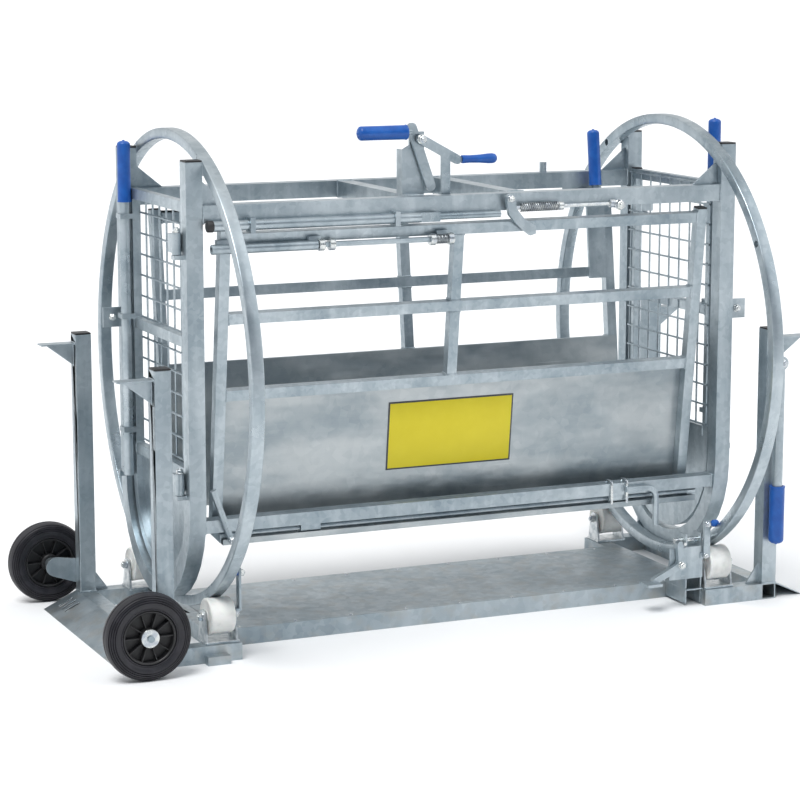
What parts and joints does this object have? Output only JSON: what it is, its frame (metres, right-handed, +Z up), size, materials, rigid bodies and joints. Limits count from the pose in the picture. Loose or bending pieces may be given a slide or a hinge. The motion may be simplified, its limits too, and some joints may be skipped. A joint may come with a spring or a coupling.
{
  "type": "cattle squeeze chute",
  "caption": "Turnover squeeze crate for sheep: a cradle in two hoops that rolls on a low base, with squeeze panels and mesh gates.",
  "frame": {"origin": "underside of the platform's centre rib, straight below the rotor's axis", "axes": "+X along the crate towards the folding handles, -Y is the front with the squeeze levers, +Z up"},
  "size_m": [1.857, 1.12, 1.2028],
  "materials": {
    "galvanised_tube": "hot-dip galvanised",
    "galvanised_sheet": "galvanised sheet, satin",
    "zinc_plated": "bright zinc plate",
    "mesh_wire": "galvanised wire",
    "blue_grip": "dipped, soft sheen",
    "black_rubber": "solid rubber",
    "black_plastic": "moulded",
    "white_plastic": "turned, slightly worn"
  },
  "bodies": {
    "base": {"base_platform": "galvanised_sheet", "base_end_frame_left": "galvanised_tube", "base_end_frame_right": "galvanised_tube", "ramp_left": "galvanised_sheet", "ramp_right": "galvanised_sheet", "post_left_front": "galvanised_tube", "post_left_rear": "galvanised_tube", "post_right_front": "galvanised_tube", "post_right_rear": "galvanised_tube", "roller_bracket_left_front": "zinc_plated", "roller_bracket_left_rear": "zinc_plated", "roller_bracket_right_front": "zinc_plated", "roller_bracket_right_rear": "zinc_plated", "wheel_arm_front": "galvanised_tube", "wheel_arm_rear": "galvanised_tube", "lock_housing": "galvanised_tube"},
    "roller_lf": {"roller_left_front": "white_plastic"},
    "roller_lr": {"roller_left_rear": "white_plastic"},
    "roller_rf": {"roller_right_front": "white_plastic"},
    "roller_rr": {"roller_right_rear": "white_plastic"},
    "wheel_front": {"wheel_tyre_front": "black_rubber", "wheel_hub_front": "black_plastic"},
    "wheel_rear": {"wheel_tyre_rear": "black_rubber", "wheel_hub_rear": "black_plastic"},
    "lock_bolt_part": {"lock_bolt": "zinc_plated"},
    "lock_pedal_part": {"lock_pedal": "galvanised_tube"},
    "handle_front": {"transport_arm_front": "galvanised_tube", "transport_grip_front": "blue_grip"},
    "handle_rear": {"transport_arm_rear": "galvanised_tube", "transport_grip_rear": "blue_grip"},
    "rotor": {"hoop_left": "galvanised_tube", "hoop_right": "galvanised_tube", "rotor_frame_left": "galvanised_tube", "rotor_frame_right": "galvanised_tube", "top_rail_front": "galvanised_tube", "top_rail_rear": "galvanised_tube", "bottom_rail_front": "galvanised_tube", "bottom_rail_rear": "galvanised_tube", "cross_member_left": "galvanised_tube", "cross_member_right": "galvanised_tube"},
    "panel_front": {"panel_frame_front": "galvanised_tube", "panel_sheet_front": "galvanised_sheet"},
    "panel_rear": {"panel_frame_rear": "galvanised_tube", "panel_sheet_rear": "galvanised_sheet", "rear_handle": "galvanised_tube", "rear_grip": "blue_grip"},
    "gate_left": {"gate_frame_left": "galvanised_tube", "gate_mesh_left": "mesh_wire"},
    "gate_right": {"gate_frame_right": "galvanised_tube", "gate_mesh_right": "mesh_wire"},
    "latch_left": {"latch_tube_left": "galvanised_tube", "latch_grip_left": "blue_grip"},
    "latch_right": {"latch_tube_right": "galvanised_tube", "latch_grip_right": "blue_grip"},
    "squeeze_lever_part": {"squeeze_lever": "galvanised_tube", "squeeze_grip": "blue_grip"},
    "release_lever_part": {"release_lever": "galvanised_tube", "release_grip": "blue_grip"},
    "pull_rod_part": {"pull_rod": "galvanised_tube"},
    "trigger_lever_part": {"trigger_lever": "zinc_plated"}
  },
  "joints": [
    {"name": "rotor_roll", "type": "hinge", "parent": "base", "child": "rotor", "pos_m": [0, 0, 0.633], "axis": [-1, 0, 0], "range_deg": [-120, 0]},
    {"name": "roller_lf_spin", "type": "hinge", "parent": "base", "child": "roller_lf", "pos_m": [-0.653, -0.28, 0.1], "axis": [1, 0, 0], "range_deg": [-1605, 5]},
    {"name": "roller_lr_spin", "type": "hinge", "parent": "base", "child": "roller_lr", "pos_m": [-0.653, 0.28, 0.1], "axis": [1, 0, 0], "range_deg": [-1605, 5]},
    {"name": "roller_rf_spin", "type": "hinge", "parent": "base", "child": "roller_rf", "pos_m": [0.653, -0.28, 0.1], "axis": [1, 0, 0], "range_deg": [-1605, 5]},
    {"name": "roller_rr_spin", "type": "hinge", "parent": "base", "child": "roller_rr", "pos_m": [0.653, 0.28, 0.1], "axis": [1, 0, 0], "range_deg": [-1605, 5]},
    {"name": "wheel_front_spin", "type": "hinge", "parent": "base", "child": "wheel_front", "pos_m": [-0.86, -0.392, 0.1], "axis": [0, 1, 0], "continuous": true},
    {"name": "wheel_rear_spin", "type": "hinge", "parent": "base", "child": "wheel_rear", "pos_m": [-0.86, 0.392, 0.1], "axis": [0, 1, 0], "continuous": true},
    {"name": "lock_pedal_tilt", "type": "hinge", "parent": "base", "child": "lock_pedal_part", "pos_m": [0.54, -0.313, 0.11], "axis": [0, 1, 0], "range_deg": [0, 11.4]},
    {"name": "lock_bolt_slide", "type": "slide", "parent": "base", "child": "lock_bolt_part", "axis": [1, 0, 0], "range_m": [0, 0.01027]},
    {"name": "handle_front_fold", "type": "hinge", "parent": "base", "child": "handle_front", "pos_m": [0.795, -0.341, 0.6], "axis": [0, -1, 0], "range_deg": [0, 90]},
    {"name": "handle_rear_fold", "type": "hinge", "parent": "base", "child": "handle_rear", "pos_m": [0.795, 0.341, 0.6], "axis": [0, -1, 0], "range_deg": [0, 90]},
    {"name": "panel_front_tilt", "type": "hinge", "parent": "rotor", "child": "panel_front", "pos_m": [0, -0.222, 0.272], "axis": [-1, 0, 0], "range_deg": [0, 12]},
    {"name": "panel_rear_tilt", "type": "hinge", "parent": "rotor", "child": "panel_rear", "pos_m": [0, 0.222, 0.272], "axis": [1, 0, 0], "range_deg": [0, 10]},
    {"name": "gate_left_swing", "type": "hinge", "parent": "rotor", "child": "gate_left", "pos_m": [-0.721, -0.225, 0.65], "axis": [0, 0, 1], "range_deg": [0, 100]},
    {"name": "gate_right_swing", "type": "hinge", "parent": "rotor", "child": "gate_right", "pos_m": [0.721, 0.225, 0.65], "axis": [0, 0, 1], "range_deg": [0, 100]},
    {"name": "latch_left_lift", "type": "slide", "parent": "gate_left", "child": "latch_left", "axis": [0, 0, 1], "range_m": [0, 0.05]},
    {"name": "latch_right_lift", "type": "slide", "parent": "gate_right", "child": "latch_right", "axis": [0, 0, 1], "range_m": [0, 0.05]},
    {"name": "squeeze_lever_swing", "type": "hinge", "parent": "rotor", "child": "squeeze_lever_part", "pos_m": [-0.112, -0.192, 1.165], "axis": [0, 1, 0], "range_deg": [0, 25]},
    {"name": "release_lever_swing", "type": "hinge", "parent": "rotor", "child": "release_lever_part", "pos_m": [-0.112, -0.206, 1.165], "axis": [0, 1, 0], "range_deg": [0, 8]},
    {"name": "pull_rod_slide", "type": "slide", "parent": "rotor", "child": "pull_rod_part", "axis": [-1, 0, 0], "range_m": [0, 0.0301]},
    {"name": "trigger_swing", "type": "hinge", "parent": "rotor", "child": "trigger_lever_part", "pos_m": [0.087, -0.27, 1.024], "axis": [0, 1, 0], "range_deg": [0, 20]}
  ],
  "couplings": [
    {"joint": "roller_lf_spin", "follows": "rotor_roll", "ratio": 13.333},
    {"joint": "roller_lr_spin", "follows": "rotor_roll", "ratio": 13.333},
    {"joint": "roller_rf_spin", "follows": "rotor_roll", "ratio": 13.333},
    {"joint": "roller_rr_spin", "follows": "rotor_roll", "ratio": 13.333},
    {"joint": "lock_bolt_slide", "follows": "lock_pedal_tilt", "m_per_rad": 0.051566},
    {"joint": "panel_front_tilt", "follows": "squeeze_lever_swing", "ratio": 0.48},
    {"joint": "pull_rod_slide", "follows": "squeeze_lever_swing", "m_per_rad": 0.068755}
  ]
}
